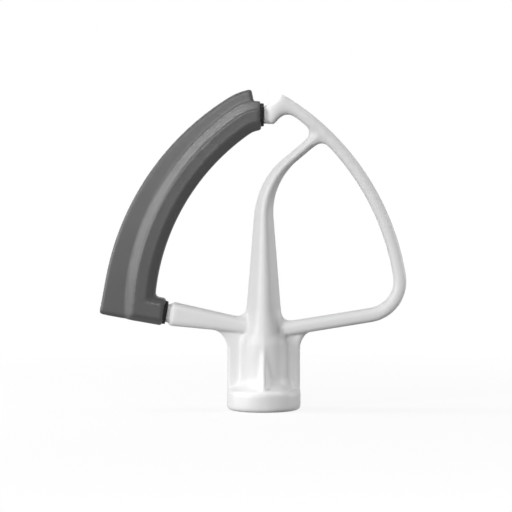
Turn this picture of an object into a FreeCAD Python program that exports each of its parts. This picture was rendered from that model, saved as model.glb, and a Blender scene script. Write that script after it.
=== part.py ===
"""Flat beater for a stand mixer with a flexible wiping edge, standing on its drive hub.

Three pieces: a coated cast frame (drive hub, tapered shaft, arms, bow, hook and the rail
that carries the edge), a stiff carrier moulded round the rail, and a soft wiping edge
moulded over the carrier. Millimetres, +Z up, origin on the hub axis at the hub's flat end.
The beater lies in the XZ plane, with the wiping edge towards -X and its front towards -Y.
"""

import FreeCAD
import Part
import math
import os

V = FreeCAD.Vector
ACROSS = V(1, 0, 0)
DEPTH = V(0, 1, 0)
UP = V(0, 0, 1)
ORIGIN = V(0, 0, 0)

# Drive hub
ring_radius = 16.3
ring_height = 9.0
ring_bevel = 0.9
foot_flare_height = 4.4
foot_flare_reach = 2.8
foot_slope = 0.4
neck_radius = 10.4
neck_top = 29.8
neck_shoulder_radius = 8.0
neck_shoulder_height = 4.2
side_rib_reach = 16.2
side_rib_flare = 9.0
side_rib_flare_z = 26.9
side_rib_flare_turn = 75.0
side_rib_thickness = 3.6
side_rib_bevel = 1.2
front_rib_reach = 15.4
front_rib_top = 37.0
front_rib_crest_width = 1.0
front_rib_root_inset = 2.0
front_rib_low_width = 11.8
front_rib_top_width = 8.0
front_rib_sink = 0.2

# Drive bore and the bayonet slot for the cross pin of the drive shaft
bore_radius = 6.45
bore_depth = 30.0
pin_slot_width = 5.6
pin_slot_reach = 12.2
pin_slot_top = 19.5
pin_slot_angle = 33.0
pin_lock_turn = 28.0

# Centre shaft: straight and tapered, then bent over to the bow
shaft_root_z = 27.0
shaft_root_half = 10.0
shaft_root_half_depth = 10.3
shaft_root_crest_round = 9.3
shaft_knee_z = 44.0
shaft_knee_half = 7.65
shaft_knee_half_depth = 8.5
shaft_knee_crest_round = 4.8
shaft_waist_z = 85.0
shaft_waist_half = 4.4
shaft_waist_half_depth = 5.4
shaft_waist_crest_round = 1.8
shaft_bend_radius = 32.9
shaft_bend_turn = 50.0
shaft_end_half = 2.4
shaft_end_half_depth = 3.9
shaft_end_crest_round = 0.8
shaft_side_flat = 2.0
junction_round = 4.0
junction_depth = 5.6

# Lower arms
arm_rise_angle = 9.2
right_arm_root_z = 34.15
right_arm_height = 6.1
left_arm_root_z = 35.8
left_arm_root_height = 5.2
left_arm_end_height = 10.6
left_arm_depth = 9.0

# Bow on the right, set out from the rail's curve, and the hook at its top end
bow_centre_x = 50.0
bow_centre_z = 41.0
bow_set_out = 3.5
bow_width = 5.5
bow_depth = 8.4
bow_corner_inner_round = 12.0
bow_corner_outer_round = 18.0
hook_leg_angle = 46.0
hook_shoulder_rise = 4.1
hook_shoulder_drop = 5.1
hook_shoulder_lean = 1.8
hook_apex_round = 2.5
hook_throat_round = 4.5
bar_bevel = 1.3

# Rail that carries the wiping edge, struck from the mirrored centre of the bow
rail_radius = 105.0
rail_width = 8.0
rail_depth = 6.0
rail_corner_bevel = 1.3
rail_bend_angle = 125.0
rail_bend_radius = 16.0
rail_elbow_radius = 5.8
neck_gap = 1.5

# Carrier, its sides measured from the rail's middle line
carrier_inner = 5.2
carrier_outer = 5.0
carrier_depth = 9.6
carrier_side_depth = 4.4
collar_length = 1.2

# Wiping edge, its sides measured from the rail's middle line
sleeve_inner = 6.9
sleeve_outer = 6.1
sleeve_depth = 12.0
sleeve_inner_bevel = 3.6
sleeve_outer_bevel = 3.6
sleeve_inner_depth = 6.0
stub_length = 11.3
stub_top = 6.3
stub_foot = 5.7
stub_bevel = 2.2
stub_corner_round = 1.8
foot_angle = 10.0
foot_bevel = 2.4
foot_spare = 3.0
sleeve_start_turn = 8.0
blade_root_thickness = 3.8
blade_tip_thickness = 2.2
blade_set_out = 14.0
blade_turn_angle = 122.0
blade_top_reach = 11.75
blade_end_angle = 98.5
blade_straight_angle = 169.3
blade_straight_run = 30.0


def front(x, z):
    """A point of the front view, in the plane of the beater."""
    return V(x, 0, z)


def polar(centre, radius, angle):
    """A point of the front view at an angle, in degrees, round a centre."""
    a = math.radians(angle)
    return front(centre.x + radius * math.cos(a), centre.z + radius * math.sin(a))


def angle_of(centre, point):
    return math.degrees(math.atan2(point.z - centre.z, point.x - centre.x)) % 360


def line_meets_circle(point, direction, centre, radius):
    """Where a line, followed along its direction, leaves a circle."""
    to_point = point - centre
    b = to_point.dot(direction)
    c = to_point.dot(to_point) - radius * radius
    return point + direction * (-b + math.sqrt(b * b - c))


def lines_meet(point, direction, other, other_direction):
    """Where two lines of the front view cross."""
    gap = other - point
    turn = direction.x * other_direction.z - direction.z * other_direction.x
    return point + direction * ((gap.x * other_direction.z - gap.z * other_direction.x) / turn)


def line(start, end):
    return Part.LineSegment(start, end).toShape()


def arc(centre, radius, start, end):
    """Edge along a circle of the front view, from one angle to another."""
    middle = polar(centre, radius, (start + end) / 2)
    return Part.Arc(polar(centre, radius, start), middle, polar(centre, radius, end)).toShape()


def polygon(points):
    return [line(points[i - 1], points[i]) for i in range(len(points))]


def bevelled_bar(half_width, half_depth, bevel):
    """Corners of an oblong with its four corners cut off."""
    a, b = half_width - bevel, half_depth - bevel
    return [
        (-half_width, -b), (-a, -half_depth), (a, -half_depth), (half_width, -b),
        (half_width, b), (a, half_depth), (-a, half_depth), (-half_width, b),
    ]


def plate(edges, depth):
    """Solid of an outline in the front view, equally deep to both sides of its plane."""
    face = Part.Face(Part.Wire(edges))
    face.translate(DEPTH * (-depth / 2))
    return face.extrude(DEPTH * depth)


def round_upright_edges(solid, rounds):
    """Rounds the edges that run through the depth, given as (point of the front view, radius)."""
    for point, radius in rounds:
        edges = [e for e in solid.Edges if e.distToShape(Part.Vertex(point))[0] < 1e-4]
        solid = solid.makeFillet(radius, edges)
    return solid


def bevel_rim(solid, depth, bevel):
    """Bevels the outline edges on the front and back faces of a plate."""
    rim = [e for e in solid.Edges if abs(abs(e.CenterOfMass.y) - depth / 2) < 1e-6]
    return solid.makeChamfer(bevel, rim)


def sweep(path, outline):
    """Solid swept by an outline along a path of the front view."""
    return Part.Wire(path).makePipeShell([outline], True, False)


# Shared lines of the front view
ARM_RIGHT = polar(ORIGIN, 1, arm_rise_angle)
ARM_RIGHT_NORMAL = polar(ORIGIN, 1, arm_rise_angle + 90)
ARM_LEFT = polar(ORIGIN, 1, 180 - arm_rise_angle)
ARM_LEFT_NORMAL = polar(ORIGIN, 1, 90 - arm_rise_angle)
RIGHT_ROOT = front(0, right_arm_root_z)
LEFT_ROOT = front(0, left_arm_root_z)
BOW_CENTRE = front(-bow_centre_x, bow_centre_z)
bow_inner_radius = rail_radius + bow_set_out
bow_outer_radius = bow_inner_radius + bow_width
SHAFT_LEAN = polar(ORIGIN, 1, 90 - shaft_bend_turn)
SHAFT_BEND_CENTRE = front(shaft_bend_radius, shaft_waist_z)
SHAFT_BEND_END = polar(SHAFT_BEND_CENTRE, shaft_bend_radius, 180 - shaft_bend_turn)
SHAFT_TIP = line_meets_circle(SHAFT_BEND_END, SHAFT_LEAN, BOW_CENTRE, bow_inner_radius + bow_width / 2)

# Middle line of the rail: lower straight, elbow, long curve, bend, short straight into the hook
RAIL_CENTRE = front(bow_centre_x, bow_centre_z)
BEND_CENTRE = polar(RAIL_CENTRE, rail_radius - rail_bend_radius, rail_bend_angle)
RAIL_TOP = BEND_CENTRE + UP * rail_bend_radius
ELBOW_CENTRE = line_meets_circle(
    LEFT_ROOT + ARM_LEFT_NORMAL * rail_elbow_radius, ARM_LEFT, RAIL_CENTRE, rail_radius - rail_elbow_radius)
elbow_angle = angle_of(RAIL_CENTRE, ELBOW_CENTRE)
elbow_corner = line_meets_circle(LEFT_ROOT, ARM_LEFT, RAIL_CENTRE, rail_radius)
stub_end = (elbow_corner - LEFT_ROOT).Length - stub_length
left_arm_length = stub_end - collar_length - neck_gap
LEFT_END = LEFT_ROOT + ARM_LEFT * left_arm_length
LEFT_TOP = LEFT_ROOT + ARM_LEFT_NORMAL * (left_arm_root_height / 2)
LEFT_LOW = LEFT_ROOT - ARM_LEFT_NORMAL * (left_arm_root_height / 2)
LEFT_TOP_END = LEFT_END + ARM_LEFT_NORMAL * (left_arm_end_height / 2)
LEFT_LOW_END = LEFT_END - ARM_LEFT_NORMAL * (left_arm_end_height / 2)


def rail_path(low_start, top_run):
    """Middle line of the rail from a distance along the left arm to a run past the bend."""
    low = LEFT_ROOT + ARM_LEFT * low_start
    return [
        line(low, ELBOW_CENTRE - ARM_LEFT_NORMAL * rail_elbow_radius),
        arc(ELBOW_CENTRE, rail_elbow_radius, 270 - arm_rise_angle, elbow_angle),
        arc(RAIL_CENTRE, rail_radius, elbow_angle, rail_bend_angle),
        arc(BEND_CENTRE, rail_bend_radius, rail_bend_angle, 90),
        line(RAIL_TOP, RAIL_TOP + ACROSS * top_run),
    ]


def across_rail(low_start, corners):
    """Corners of a section at the start of the rail: (outwards from the middle line, depth)."""
    low = LEFT_ROOT + ARM_LEFT * low_start
    return [low - ARM_LEFT_NORMAL * out + DEPTH * deep for out, deep in corners]


def make_rail():
    start = left_arm_length - rail_width
    corners = bevelled_bar(rail_width / 2, rail_depth / 2, rail_corner_bevel)
    outline = Part.Wire(polygon(across_rail(start, corners)))
    run = collar_length + neck_gap + hook_shoulder_lean + rail_width / 4
    return sweep(rail_path(start, run), outline)


def shaft_section(centre, across, half_width, half_depth, crest_round):
    """Diamond with four flat facets, rounded crests in front and behind and narrow flats at the sides."""
    side = V(half_width, shaft_side_flat / 2, 0)
    eye = V(0, half_depth - crest_round, 0)
    reach = (side - eye).Length
    turn = math.atan2(side.y - eye.y, side.x) + math.acos(crest_round / reach)
    touch = eye + V(math.cos(turn), math.sin(turn), 0) * crest_round

    def at(x, y):
        return centre + across * x + DEPTH * y

    return Part.Wire([
        Part.Arc(at(touch.x, touch.y), at(0, half_depth), at(-touch.x, touch.y)).toShape(),
        line(at(-touch.x, touch.y), at(-side.x, side.y)),
        line(at(-side.x, side.y), at(-side.x, -side.y)),
        line(at(-side.x, -side.y), at(-touch.x, -touch.y)),
        Part.Arc(at(-touch.x, -touch.y), at(0, -half_depth), at(touch.x, -touch.y)).toShape(),
        line(at(touch.x, -touch.y), at(side.x, -side.y)),
        line(at(side.x, -side.y), at(side.x, side.y)),
        line(at(side.x, side.y), at(touch.x, touch.y)),
    ])


def bend_section(share):
    """Section of the shaft part of the way round its bend."""
    low = (shaft_waist_half, shaft_waist_half_depth, shaft_waist_crest_round)
    high = (shaft_end_half, shaft_end_half_depth, shaft_end_crest_round)
    sizes = [a + (b - a) * share for a, b in zip(low, high)]
    turn = shaft_bend_turn * share
    centre = polar(SHAFT_BEND_CENTRE, shaft_bend_radius, 180 - turn)
    return shaft_section(centre, polar(ORIGIN, 1, -turn), *sizes)


def make_shaft():
    """Centre shaft from inside the hub up into the bow."""
    root = shaft_section(
        front(0, shaft_root_z), ACROSS, shaft_root_half, shaft_root_half_depth, shaft_root_crest_round)
    knee = shaft_section(
        front(0, shaft_knee_z), ACROSS, shaft_knee_half, shaft_knee_half_depth, shaft_knee_crest_round)
    foot = Part.makeLoft([root, knee], True, True)
    straight = Part.makeLoft([knee, bend_section(0)], True, True)
    bend = Part.makeLoft([bend_section(0), bend_section(0.5), bend_section(1)], True, False)
    tip = Part.Face(bend_section(1)).extrude(SHAFT_TIP - SHAFT_BEND_END)
    return straight.multiFuse([foot, bend, tip])


def make_gusset(corner, one_way, other_way, radius, depth):
    """Rounded filling of an inside corner, given by its point and the directions of its two sides."""
    half = one_way.getAngle(other_way) / 2
    run = radius / math.tan(half)
    out = (one_way + other_way).normalize()
    start, end = corner + one_way * run, corner + other_way * run
    middle = corner + out * (radius / math.sin(half) - radius)
    behind = corner - out * (radius / 2)
    return plate([Part.Arc(start, middle, end).toShape(), line(end, behind), line(behind, start)], depth)


def make_gussets():
    """Inside corners above the two arms and on both sides of the shaft's tip."""
    gussets = []
    right_top = RIGHT_ROOT + ARM_RIGHT_NORMAL * (right_arm_height / 2)
    left_along = (LEFT_TOP_END - LEFT_TOP).normalize()
    for sign, top, along in ((-1, LEFT_TOP, left_along), (1, right_top, ARM_RIGHT)):
        foot = front(sign * shaft_knee_half, shaft_knee_z)
        rise = (front(sign * shaft_waist_half, shaft_waist_z) - foot).normalize()
        corner = lines_meet(foot, rise, top, along)
        gussets.append(make_gusset(corner, rise, along, junction_round, junction_depth))
    for sign in (-1, 1):
        side = SHAFT_BEND_END + polar(ORIGIN, shaft_end_half * sign, -shaft_bend_turn)
        meet = line_meets_circle(side, SHAFT_LEAN, BOW_CENTRE, bow_inner_radius)
        bow_way = polar(ORIGIN, 1, angle_of(BOW_CENTRE, meet) - 90 * sign)
        gussets.append(make_gusset(meet, SHAFT_LEAN * -1, bow_way, junction_round, junction_depth))
    return gussets


def make_bow():
    """Right arm, bow and hook in one bar, from the hub round to the hook's shoulder."""
    low = RIGHT_ROOT - ARM_RIGHT_NORMAL * (right_arm_height / 2)
    high = RIGHT_ROOT + ARM_RIGHT_NORMAL * (right_arm_height / 2)
    outer_corner = line_meets_circle(low, ARM_RIGHT, BOW_CENTRE, bow_outer_radius)
    inner_corner = line_meets_circle(high, ARM_RIGHT, BOW_CENTRE, bow_inner_radius)
    leg = polar(ORIGIN, 1, hook_leg_angle)
    shoulder_x = RAIL_TOP.x + collar_length + neck_gap
    shoulder_top = front(shoulder_x, RAIL_TOP.z + hook_shoulder_rise)
    shoulder_tip = front(shoulder_x + hook_shoulder_lean, RAIL_TOP.z - hook_shoulder_drop)
    apex = line_meets_circle(shoulder_top, leg, BOW_CENTRE, bow_outer_radius)
    throat = line_meets_circle(shoulder_tip, leg, BOW_CENTRE, bow_inner_radius)
    outer_low = (angle_of(BOW_CENTRE, outer_corner) + 180) % 360 - 180
    inner_low = (angle_of(BOW_CENTRE, inner_corner) + 180) % 360 - 180
    bar = plate([
        line(low, outer_corner),
        arc(BOW_CENTRE, bow_outer_radius, outer_low, angle_of(BOW_CENTRE, apex)),
        line(apex, shoulder_top),
        line(shoulder_top, shoulder_tip),
        line(shoulder_tip, throat),
        arc(BOW_CENTRE, bow_inner_radius, angle_of(BOW_CENTRE, throat), inner_low),
        line(inner_corner, high),
        line(high, low),
    ], bow_depth)
    bar = round_upright_edges(bar, [
        (outer_corner, bow_corner_outer_round),
        (inner_corner, bow_corner_inner_round),
        (apex, hook_apex_round),
        (throat, hook_throat_round),
    ])
    return bevel_rim(bar, bow_depth, bar_bevel)


def make_left_arm():
    arm = plate(polygon([LEFT_TOP, LEFT_TOP_END, LEFT_LOW_END, LEFT_LOW]), left_arm_depth)
    return bevel_rim(arm, left_arm_depth, bar_bevel)


def rib_flare(side):
    """Points that carry a side rib out under an arm: three along the arc, then one inside the arm."""
    centre = front(side * (side_rib_reach + side_rib_flare), side_rib_flare_z)
    start, middle, end = [
        centre + V(-side * math.cos(a), 0, math.sin(a)) * side_rib_flare
        for a in (0, math.radians(side_rib_flare_turn / 2), math.radians(side_rib_flare_turn))]
    return start, middle, end, end + UP * (right_arm_height / 2)


def make_side_ribs():
    """Thin web through the hub that stands out as a rib on both sides and flares out under the arms."""
    left = rib_flare(-1)
    right = rib_flare(1)
    low_left = front(-side_rib_reach, ring_height / 2)
    low_right = front(side_rib_reach, ring_height / 2)
    web = plate([
        line(low_left, left[0]),
        Part.Arc(left[0], left[1], left[2]).toShape(),
        line(left[2], left[3]),
        line(left[3], right[3]),
        line(right[3], right[2]),
        Part.Arc(right[2], right[1], right[0]).toShape(),
        line(right[0], low_right),
        line(low_right, low_left),
    ], side_rib_thickness)
    return bevel_rim(web, side_rib_thickness, side_rib_bevel)


def front_rib_outline(reach, root_width, z):
    """Level outline of a wedge from inside the neck out to a narrow crest."""
    inner = neck_shoulder_radius - front_rib_root_inset
    return Part.Wire(polygon([
        V(inner, -root_width / 2, z), V(reach, -front_rib_crest_width / 2, z),
        V(reach, front_rib_crest_width / 2, z), V(inner, root_width / 2, z)]))


def make_front_ribs():
    """Wedges in front of and behind the neck, leaning in and narrowing until they run into the shaft."""
    share = (front_rib_top - shaft_root_z) / (shaft_knee_z - shaft_root_z)
    crest = shaft_root_half_depth + (shaft_knee_half_depth - shaft_root_half_depth) * share
    ribs = []
    for turn in (-90, 90):
        rib = Part.makeLoft([
            front_rib_outline(front_rib_reach, front_rib_low_width, ring_height / 2),
            front_rib_outline(crest - front_rib_sink, front_rib_top_width, front_rib_top)], True, True)
        rib.rotate(ORIGIN, UP, turn)
        ribs.append(rib)
    return ribs[0].fuse(ribs[1])


def make_ring():
    """Ring at the hub's flat end, the flare above it, the neck and its sloping shoulder."""
    shelf = ring_radius - ring_bevel
    flare = neck_radius + foot_flare_reach
    flare_low = ring_height + foot_slope
    shoulder = neck_radius - neck_shoulder_radius
    outline = [
        (0, 0), (shelf, 0), (ring_radius, ring_bevel), (ring_radius, ring_height - ring_bevel),
        (shelf, ring_height), (flare, flare_low),
        (neck_radius + foot_flare_reach / 3, flare_low + foot_flare_height / 3),
        (neck_radius, flare_low + foot_flare_height), (neck_radius, neck_top),
        (neck_radius - shoulder / 3, neck_top + neck_shoulder_height * 2 / 3),
        (neck_shoulder_radius, neck_top + neck_shoulder_height), (0, neck_top + neck_shoulder_height),
    ]
    return Part.Face(Part.Wire(polygon([front(x, z) for x, z in outline]))).revolve(ORIGIN, UP, 360)


def make_drive_hole():
    """Blind bore and the turned slot that locks on the cross pin."""
    hole = Part.makeCylinder(bore_radius, bore_depth)
    slot = Part.makeBox(pin_slot_reach, pin_slot_width, pin_slot_top, V(0, -pin_slot_width / 2, 0))
    slot.rotate(ORIGIN, UP, pin_slot_angle)
    lock_low = UP * (pin_slot_top - pin_slot_width)
    lock = Part.makeBox(
        pin_slot_reach, pin_slot_width, pin_slot_width, V(0, -pin_slot_width / 2, 0) + lock_low)
    lock.rotate(ORIGIN, UP, pin_slot_angle + pin_lock_turn)
    turn = Part.makeCylinder(pin_slot_reach, pin_slot_width, lock_low, UP, pin_lock_turn)
    turn.rotate(ORIGIN, UP, pin_slot_angle)
    return hole.multiFuse([slot, lock, turn])


def make_frame():
    pieces = [make_bow(), make_left_arm(), make_ring(), make_side_ribs(), make_front_ribs(), make_rail()]
    return make_shaft().multiFuse(pieces + make_gussets()).cut(make_drive_hole())


def make_carrier_body():
    start = stub_end - collar_length
    flat = sleeve_depth - carrier_depth
    inner_flat = carrier_inner - sleeve_inner_bevel + flat / 2
    outer_flat = carrier_outer - sleeve_outer_bevel + flat / 2
    deep = carrier_depth / 2
    side = carrier_side_depth / 2
    corners = [
        (-carrier_inner, -side), (-inner_flat, -deep), (outer_flat, -deep), (carrier_outer, -side),
        (carrier_outer, side), (outer_flat, deep), (-inner_flat, deep), (-carrier_inner, side),
    ]
    outline = Part.Wire(polygon(across_rail(start, corners)))
    return sweep(rail_path(start, collar_length), outline)


def make_sleeve():
    """Bevelled sleeve along the curve and the bend, long enough to be cut off at the foot."""
    low_angle = elbow_angle + sleeve_start_turn
    low = polar(RAIL_CENTRE, rail_radius, low_angle)
    out = polar(ORIGIN, 1, low_angle)
    deep = sleeve_depth / 2
    inner_side = sleeve_inner_depth / 2
    outer_side = blade_root_thickness / 2
    corners = [
        (-sleeve_inner, -inner_side), (-sleeve_inner + sleeve_inner_bevel, -deep),
        (sleeve_outer - sleeve_outer_bevel, -deep), (sleeve_outer, -outer_side),
        (sleeve_outer, outer_side), (sleeve_outer - sleeve_outer_bevel, deep),
        (-sleeve_inner + sleeve_inner_bevel, deep), (-sleeve_inner, inner_side),
    ]
    outline = Part.Wire(polygon([low + out * a + DEPTH * b for a, b in corners]))
    path = [
        arc(RAIL_CENTRE, rail_radius, low_angle, rail_bend_angle),
        arc(BEND_CENTRE, rail_bend_radius, rail_bend_angle, 90),
    ]
    return sweep(path, outline)


def make_stub():
    """Short straight sleeve that turns the lower end of the edge along the left arm."""
    end = LEFT_ROOT + ARM_LEFT * stub_end
    low = stub_foot + foot_spare
    corners = bevelled_bar((stub_top + low) / 2, sleeve_depth / 2, stub_bevel)
    middle = end + ARM_LEFT_NORMAL * ((stub_top - low) / 2)
    points = [middle + ARM_LEFT_NORMAL * a + DEPTH * b for a, b in corners]
    return Part.Face(Part.Wire(polygon(points))).extrude(ARM_LEFT * stub_length)


def make_stub_corner():
    """Rounded filling of the inside corner between the sleeve and the stub."""
    inner_radius = rail_radius - sleeve_inner
    corner = line_meets_circle(LEFT_ROOT + ARM_LEFT_NORMAL * stub_top, ARM_LEFT, RAIL_CENTRE, inner_radius)
    up_sleeve = polar(ORIGIN, 1, angle_of(RAIL_CENTRE, corner) - 90)
    return make_gusset(corner, up_sleeve, ARM_LEFT * -1, stub_corner_round, sleeve_inner_depth)


def make_blade():
    """Thin tapered blade outside the sleeve, following the curve and the bend."""
    blade_tip_radius = rail_radius + blade_set_out
    bend_reach = rail_bend_radius + blade_top_reach
    centre = polar(BEND_CENTRE, bend_reach - blade_tip_radius, blade_turn_angle)
    bend_start = polar(centre, blade_tip_radius, blade_straight_angle)
    low = bend_start + polar(ORIGIN, blade_straight_run, blade_straight_angle + 90)
    out = polar(ORIGIN, 1, blade_straight_angle)
    root = blade_root_thickness / 2
    tip = blade_tip_thickness / 2
    corners = [(-blade_top_reach, -root), (0, -tip), (0, tip), (-blade_top_reach, root)]
    outline = Part.Wire(polygon([low + out * a + DEPTH * b for a, b in corners]))
    path = [
        line(low, bend_start),
        arc(centre, blade_tip_radius, blade_straight_angle, blade_turn_angle),
        arc(BEND_CENTRE, bend_reach, blade_turn_angle, blade_end_angle),
    ]
    return sweep(path, outline)


def make_foot_cut():
    """Everything below the foot's slanting end, with a bevel along its front and back edges."""
    heel = LEFT_ROOT + ARM_LEFT * stub_end - ARM_LEFT_NORMAL * stub_foot
    deep = sleeve_depth / 2
    wide = 2 * sleeve_depth
    outline = Part.Wire(polygon([heel + DEPTH * y + UP * z for y, z in (
        (-wide, -wide), (wide, -wide), (wide, wide - deep + foot_bevel), (deep - foot_bevel, 0),
        (foot_bevel - deep, 0), (-wide, wide - deep + foot_bevel))]))
    cut = Part.Face(outline).extrude(ACROSS * (2 * wide))
    cut.translate(ACROSS * -1.5 * wide)
    cut.rotate(heel, DEPTH, foot_angle)
    return cut


def make_edge(carrier_body):
    edge = make_sleeve().multiFuse([make_stub(), make_stub_corner(), make_blade()])
    return edge.cut(make_foot_cut()).cut(carrier_body)


os.makedirs("parts", exist_ok=True)
beater_frame = make_frame()
carrier_body = make_carrier_body()
edge_carrier = carrier_body.cut(make_rail())
flex_edge = make_edge(carrier_body)

for name, shape in (("beater_frame", beater_frame), ("edge_carrier", edge_carrier), ("flex_edge", flex_edge)):
    shape = shape.removeSplitter()
    box = shape.BoundBox
    print(name, shape.isValid(), len(shape.Solids), round(shape.Volume), box)
    shape.exportStep("parts/" + name + ".step")
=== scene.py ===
"""Looks of the flat beater: white coated casting, dark carrier ends and a grey silicone wiping edge."""

import math

import bmesh
import bpy
import numpy
import openvdb
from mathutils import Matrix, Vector
from mathutils.bvhtree import BVHTree


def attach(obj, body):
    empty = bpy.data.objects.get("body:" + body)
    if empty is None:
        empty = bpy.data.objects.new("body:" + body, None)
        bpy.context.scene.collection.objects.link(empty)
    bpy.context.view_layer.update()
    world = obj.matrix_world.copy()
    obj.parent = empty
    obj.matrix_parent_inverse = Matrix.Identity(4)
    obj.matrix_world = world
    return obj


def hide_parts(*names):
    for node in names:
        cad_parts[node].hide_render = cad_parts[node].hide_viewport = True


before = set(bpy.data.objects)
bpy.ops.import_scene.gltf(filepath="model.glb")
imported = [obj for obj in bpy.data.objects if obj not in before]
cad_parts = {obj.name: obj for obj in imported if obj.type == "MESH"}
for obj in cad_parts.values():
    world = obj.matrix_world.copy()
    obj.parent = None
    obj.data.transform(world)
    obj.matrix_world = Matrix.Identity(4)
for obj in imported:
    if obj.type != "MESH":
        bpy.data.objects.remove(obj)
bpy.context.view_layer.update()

MM = 0.001

# Cells of the moulds, and the rounds of smoothing on the meshes taken from them
frame_grain = 0.5 * MM
edge_grain = 0.4 * MM
cells_each_side = 14
relax_rounds = 8

# Casting: its fillets and rounded edges, and how far its surface is evened
cast_fillet = 1.4 * MM
cast_rounding = 1.0 * MM
cast_evening = 0.6 * MM
crisp_rounding = 0.8 * MM

# Rounder hook, and crisper hub and necks, each with its reach and the fade around it
hook_centre = (8.5 * MM, 0, 133 * MM)
hook_reach = 5 * MM
hook_fade = 8 * MM
hook_evening = 1.3 * MM
hub_centre = (0, 0, 25 * MM)
hub_reach = 18 * MM
hub_fade = 6 * MM
hub_evening = 0.4 * MM
neck_reach = 2.0 * MM
neck_fade = 2.0 * MM
neck_evening = 0.35 * MM

# Carrier and soft edge
carrier_evening = 0.2 * MM
edge_rounding = 0.9 * MM
edge_evening = 0.35 * MM
edge_clearance = 0.05 * MM
weld_distance = 0.001 * MM
touch_distance = 0.1 * MM

# Studio, in metres: the floor, its shadow's middle and rim, and where the lamps point
floor_size = 8
shadow_middle = 0.05
shadow_rim = 0.3
shadow_glow = 0.88
world_level = 0.1
part_middle = (0, 0, 0.07)

# Camera: the photograph's frame and the place it was taken from
photo_pixels = 512
pixel_width = 0.44 * MM
film_width = 36
camera_x = -3.4 * MM
camera_distance = 1.2
camera_height = 130 * MM
aim_height = 67.8 * MM


class Wire:
    """One output socket of a node, with arithmetic that adds the Math nodes it needs."""

    def __init__(self, bench, socket):
        self.bench = bench
        self.socket = socket

    def _math(self, operation, a, b):
        return self.bench.node("ShaderNodeMath", {"operation": operation}, {0: a, 1: b})

    def __add__(self, other):
        return self._math("ADD", self, other)

    def __radd__(self, other):
        return self._math("ADD", other, self)

    def __sub__(self, other):
        return self._math("SUBTRACT", self, other)

    def __rsub__(self, other):
        return self._math("SUBTRACT", other, self)

    def __mul__(self, other):
        return self._math("MULTIPLY", self, other)

    def __rmul__(self, other):
        return self._math("MULTIPLY", other, self)


class Bench:
    """The nodes of a material or of the world, added one at a time."""

    def __init__(self, tree):
        self.tree = tree

    def node(self, kind, settings, values, output=0):
        """Adds a node: its settings first, then the values or links of its sockets."""
        made = self.tree.nodes.new(kind)
        for key, value in settings.items():
            setattr(made, key, value)
        for key, value in values.items():
            self.feed(made.inputs[key], value)
        return Wire(self, made.outputs[output])

    def feed(self, socket, value):
        if isinstance(value, Wire):
            self.tree.links.new(value.socket, socket)
        else:
            socket.default_value = value

    def seen_directly(self):
        """1 for rays that show the surroundings: from the camera, in reflections and through glass."""
        rays = ("Is Camera Ray", "Is Glossy Ray", "Is Transmission Ray")
        camera, glossy, through = [self.node("ShaderNodeLightPath", {}, {}, ray) for ray in rays]
        return 1 - (1 - camera) * (1 - glossy) * (1 - through)


class Finish(Bench):
    """A material under construction: one shader and the nodes that feed it."""

    def __init__(self, name):
        self.material = bpy.data.materials.new(name)
        self.material.use_nodes = True
        super().__init__(self.material.node_tree)
        self.shader = self.tree.nodes["Principled BSDF"]

    def set(self, **values):
        """Sets or links sockets of the shader, named with underscores for spaces."""
        for key, value in values.items():
            self.feed(self.shader.inputs[key.replace("_", " ")], value)

    def place(self):
        return self.node("ShaderNodeTexCoord", {}, {}, "Object")

    def noise(self, scale, detail):
        return self.node("ShaderNodeTexNoise", {}, {
            "Vector": self.place(), "Scale": scale, "Detail": detail, "Roughness": 0.5}, "Fac")

    def cloud(self, scale, detail, low=0.0, high=1.0):
        """Noise with its usual span, 0.3 to 0.7, stretched to run from low to high."""
        return self.between(self.noise(scale, detail), 0.3, 0.7, low, high)

    def mix(self, share, low, high):
        """Mix of two colours, whose sockets on the node are 6 and 7, with the result on 2."""
        return self.node("ShaderNodeMix", {"data_type": "RGBA"}, {0: share, 6: low, 7: high}, 2)

    def between(self, value, low, high, to_low, to_high):
        return self.node("ShaderNodeMapRange", {}, {
            "Value": value, "From Min": low, "From Max": high, "To Min": to_low, "To Max": to_high})

    def bump(self, height, depth):
        self.set(Normal=self.node("ShaderNodeBump", {}, {
            "Height": height, "Distance": depth, "Strength": 1.0}, "Normal"))


def grey(level):
    return (level, level, level, 1)


def white_coating():
    """Smooth glossy coating with a faint ripple and the slightest cloudiness."""
    coat = Finish("white_coating")
    coat.set(
        Base_Color=coat.mix(coat.cloud(scale=60.0, detail=3.0), grey(0.845), grey(0.87)),
        Roughness=coat.cloud(scale=220.0, detail=3.0, low=0.36, high=0.44),
        Specular_IOR_Level=0.35)
    coat.bump(coat.noise(scale=300.0, detail=2.0), depth=0.006 * MM)
    return coat.material


def dark_plastic():
    """Near-black satin moulding with a fine sparked grain."""
    plastic = Finish("dark_plastic")
    speck = plastic.cloud(scale=900.0, detail=2.0)
    plastic.set(
        Base_Color=plastic.mix(speck, grey(0.004), grey(0.008)),
        Roughness=0.42 + 0.13 * speck,
        Specular_IOR_Level=0.2)
    plastic.bump(plastic.noise(scale=1500.0, detail=2.0), depth=0.02 * MM)
    return plastic.material


def grey_silicone():
    """Soft satin grey with a fine moulded grain."""
    soft = Finish("grey_silicone")
    soft.set(
        Base_Color=soft.mix(soft.cloud(scale=90.0, detail=4.0), grey(0.049), grey(0.058)),
        Roughness=soft.cloud(scale=700.0, detail=3.0, low=0.34, high=0.42),
        Specular_IOR_Level=0.55)
    soft.bump(soft.noise(scale=1600.0, detail=3.0), depth=0.015 * MM)
    return soft.material


def cad(node):
    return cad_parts[node].data


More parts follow.
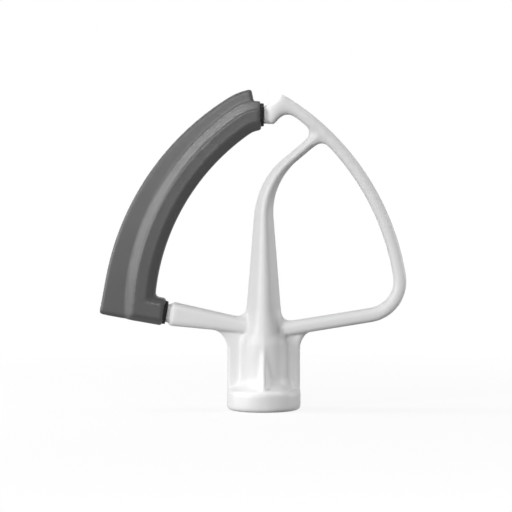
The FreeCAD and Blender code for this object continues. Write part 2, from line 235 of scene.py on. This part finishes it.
def outside_of(node, core):
    """Closed outer surface of a CAD node that is moulded round another node, as a mesh with no hollow."""
    skin = bmesh.new()
    skin.from_mesh(cad(node))
    bmesh.ops.remove_doubles(skin, verts=skin.verts, dist=weld_distance)
    inside = bmesh.new()
    inside.from_mesh(cad(core))
    tree = BVHTree.FromBMesh(inside)
    hollow = [f for f in skin.faces if tree.find_nearest(f.calc_center_median(), touch_distance)[0]]
    bmesh.ops.delete(skin, geom=hollow, context="FACES")
    bmesh.ops.holes_fill(skin, edges=skin.edges, sides=0)
    mesh = bpy.data.meshes.new(node + "_outside")
    skin.to_mesh(mesh)
    return mesh


def within(distances, reach, fade):
    """1 up to the reach, falling to 0 over the fade."""
    return numpy.clip((reach + fade - distances) / fade, 0, 1)


def blend(one, other, share):
    return one + (other - one) * share


class Mould:
    """Block of small cells round a CAD node. A solid in it is an array of distances, negative inside."""

    def __init__(self, node, grain):
        self.grain = grain
        self.cells = openvdb.createLinearTransform(grain)
        self.band = cells_each_side
        corners = numpy.array([corner.co for corner in cad(node).vertices]) / grain
        self.low = [int(c) - self.band for c in numpy.floor(corners.min(0))]
        self.high = [int(c) + self.band for c in numpy.ceil(corners.max(0))]
        self.shape = [b - a for a, b in zip(self.low, self.high)]

    def solid(self, mesh, fillet=0.0, rounding=0.0):
        """A mesh with its inside corners filled, by going out and back, and its edges rounded, by going in
        and back."""
        mesh.calc_loop_triangles()
        points = numpy.array([corner.co for corner in mesh.vertices], numpy.float32)
        triangles = numpy.array([face.vertices for face in mesh.loop_triangles], numpy.uint32)
        quads = None
        level_set = openvdb.FloatGrid.createLevelSetFromPolygons
        for shift in [shift for shift in (fillet, -fillet - rounding) if shift]:
            points, triangles, quads = level_set(
                points, triangles, quads, self.cells, self.band).convertToPolygons(shift)
        distances = numpy.zeros(self.shape, numpy.float32)
        level_set(points, triangles, quads, self.cells, self.band).copyToArray(distances, self.low)
        return distances - rounding

    def evened(self, distances, spread):
        """Distances averaged along each axis, with weights that die away three spreads out."""
        reach = math.ceil(3 * spread / self.grain)
        steps = numpy.arange(-reach, reach + 1)
        weights = numpy.exp(-0.5 * (steps * self.grain / spread) ** 2)
        weights /= weights.sum()
        for axis in range(3):
            distances = sum(w * numpy.roll(distances, step, axis) for w, step in zip(weights, steps))
        return distances

    def away_from(self, centre):
        """How far each cell is from a point."""
        axes = [(numpy.arange(n) + a) * self.grain - c for n, a, c in zip(self.shape, self.low, centre)]
        x, y, z = numpy.meshgrid(*axes, indexing="ij", sparse=True)
        return numpy.sqrt(x * x + y * y + z * z)

    def skin(self, name, distances):
        """The surface at distance zero, as a smooth piece."""
        grid = openvdb.FloatGrid(self.band * self.grain)
        grid.transform = self.cells
        grid.copyFromArray(distances.astype(numpy.float32), self.low)
        points, quads = grid.convertToQuads(0)
        mesh = bpy.data.meshes.new(name)
        mesh.from_pydata(points.tolist(), [], quads.tolist())
        mesh.shade_smooth()
        piece = bpy.data.objects.new(name, mesh)
        bpy.context.scene.collection.objects.link(piece)
        relax = piece.modifiers.new("relax", "SMOOTH")
        relax.iterations = relax_rounds
        return piece


def cast_frame():
    """Casting with generous fillets, rounder at the hook, and crisp at the hub and beside the carrier."""
    mould = Mould("beater_frame", frame_grain)
    cast = mould.solid(cad("beater_frame"), fillet=cast_fillet, rounding=cast_rounding)
    crisp = mould.solid(cad("beater_frame"), rounding=crisp_rounding)
    carrier = mould.solid(cad("edge_carrier"))
    hook = within(mould.away_from(hook_centre), hook_reach, hook_fade)
    hub = within(mould.away_from(hub_centre), hub_reach, hub_fade)
    neck = within(carrier, neck_reach, neck_fade)
    whole = mould.evened(cast, cast_evening)
    whole = blend(whole, mould.evened(cast, hook_evening), hook)
    whole = blend(whole, mould.evened(crisp, hub_evening), hub)
    whole = blend(whole, mould.evened(crisp, neck_evening), neck)
    return mould.skin("cast_frame", numpy.maximum(whole, -carrier))


def moulded_carrier():
    mould = Mould("edge_carrier", edge_grain)
    return mould.skin("moulded_carrier", mould.evened(mould.solid(cad("edge_carrier")), carrier_evening))


def moulded_edge():
    """Soft edge with rounded rims, hollow where the carrier sits in it."""
    mould = Mould("flex_edge", edge_grain)
    outer = mould.solid(outside_of("flex_edge", "edge_carrier"), rounding=edge_rounding)
    core = mould.solid(outside_of("edge_carrier", "beater_frame"))
    whole = mould.evened(outer, edge_evening)
    return mould.skin("moulded_edge", numpy.maximum(whole, edge_clearance - core))


def dress(piece, node, material):
    piece.data.materials.append(material)
    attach(piece, "root")
    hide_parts(node)


def studio_floor():
    """Floor that shows as white paper with a faint shadow, and gives the part only a little light back."""
    bpy.ops.mesh.primitive_plane_add(size=floor_size, location=(0, 0, 0))
    floor = bpy.context.object
    floor.name = "floor"
    paper = Finish("floor_white")
    paper.set(Base_Color=grey(0.12), Roughness=0.9, Specular_IOR_Level=0.0)
    shown = paper.node("ShaderNodeBsdfDiffuse", {}, {"Color": grey(0.95)})
    glow = paper.node("ShaderNodeEmission", {}, {"Color": grey(1), "Strength": 1.0})
    reach = paper.node("ShaderNodeVectorMath", {"operation": "LENGTH"}, {0: paper.place()}, "Value")
    white = paper.node("ShaderNodeMixShader", {}, {
        0: paper.between(reach, shadow_middle, shadow_rim, shadow_glow, 1.0), 1: shown, 2: glow})
    whole = paper.node("ShaderNodeMixShader", {}, {
        0: paper.seen_directly(), 1: Wire(paper, paper.shader.outputs[0]), 2: white})
    paper.feed(paper.tree.nodes["Material Output"].inputs["Surface"], whole)
    floor.data.materials.append(paper.material)


def studio_world(level):
    """Surroundings that show as white and light the part at an even low level."""
    world = bpy.data.worlds.new("studio")
    bpy.context.scene.world = world
    world.use_nodes = True
    sky = Bench(world.node_tree)
    background = sky.tree.nodes["Background"]
    sky.feed(background.inputs["Color"], grey(1))
    sky.feed(background.inputs["Strength"], level + (1 - level) * sky.seen_directly())


def softbox(name, place, aim, size, power):
    light = bpy.data.lights.new(name, "AREA")
    light.shape = "RECTANGLE"
    light.size, light.size_y = size
    light.energy = power
    lamp = bpy.data.objects.new(name, light)
    bpy.context.scene.collection.objects.link(lamp)
    lamp.visible_camera = False
    lamp.location = place
    lamp.rotation_euler = (Vector(aim) - Vector(place)).to_track_quat("-Z", "Y").to_euler()


def photo_camera():
    """Camera straight in front of the part and a little above it."""
    aim = Vector((camera_x, 0, aim_height))
    place = Vector((camera_x, -camera_distance, camera_height))
    lens = bpy.data.cameras.new("camera")
    lens.sensor_width = film_width
    lens.lens = film_width * (aim - place).length / (photo_pixels * pixel_width)
    camera = bpy.data.objects.new("camera", lens)
    bpy.context.scene.collection.objects.link(camera)
    camera.location = place
    camera.rotation_euler = (aim - place).to_track_quat("-Z", "Y").to_euler()
    bpy.context.scene.camera = camera


dress(cast_frame(), "beater_frame", white_coating())
dress(moulded_carrier(), "edge_carrier", dark_plastic())
dress(moulded_edge(), "flex_edge", grey_silicone())
studio_floor()
studio_world(world_level)
softbox("key_softbox", place=(-2.55, -1.92, 0.75), aim=part_middle, size=(0.7, 1.3), power=47.0)
softbox("front_fill", place=(-0.5, -2.5, 0.9), aim=part_middle, size=(1.2, 1.2), power=29.5)
softbox("left_strip", place=(-0.27, 0.015, 0.27), aim=(0.03, 0, 0.06), size=(0.03, 0.62), power=1.0)
softbox("top_softbox", place=(-0.2, 0.0, 1.3), aim=part_middle, size=(0.9, 0.9), power=2.0)
softbox("right_rim", place=(0.9, 0.16, 0.2), aim=(0, 0, 0.06), size=(0.25, 0.36), power=2.8)
photo_camera()
bpy.context.scene.view_settings.view_transform = "Standard"
